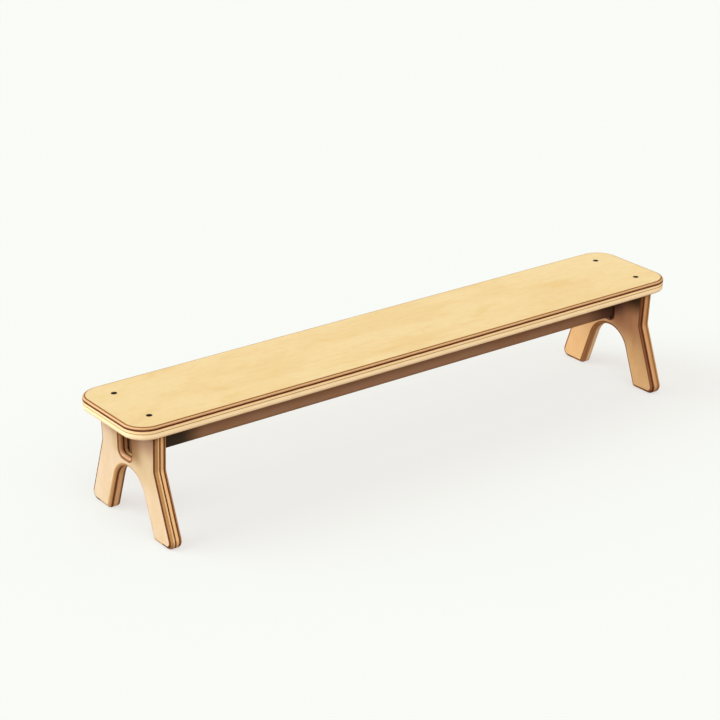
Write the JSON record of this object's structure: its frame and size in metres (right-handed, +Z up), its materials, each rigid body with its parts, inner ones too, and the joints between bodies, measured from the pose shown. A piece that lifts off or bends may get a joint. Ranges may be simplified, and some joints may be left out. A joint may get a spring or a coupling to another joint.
{
  "type": "floor balance beam",
  "caption": "Low balance beam for the floor: a plywood board with rounded corners on splayed, arched plywood end legs, with a stiffening rail on edge underneath.",
  "frame": {"origin": "on the floor, under the middle of the walking board", "axes": "+X along the beam, +Y across it, +Z up"},
  "size_m": [0.9, 0.1954, 0.166],
  "materials": {
    "board_plywood": "satin clear varnish on birch plywood, dark plies showing on the rounded edge",
    "leg_plywood": "satin clear varnish on birch plywood, dark plies showing on the rounded edge",
    "rail_plywood": "satin clear varnish on birch plywood",
    "screw_steel": "black phosphate",
    "dowel_beech": "bare turned beech"
  },
  "bodies": {
    "root": {"top_board": "board_plywood", "leg_left": "leg_plywood", "leg_right": "leg_plywood", "rail": "rail_plywood", "screw_left_front": "screw_steel", "screw_left_back": "screw_steel", "screw_right_front": "screw_steel", "screw_right_back": "screw_steel", "dowel_1": "dowel_beech", "dowel_2": "dowel_beech", "dowel_3": "dowel_beech", "dowel_4": "dowel_beech"}
  },
  "joints": []
}
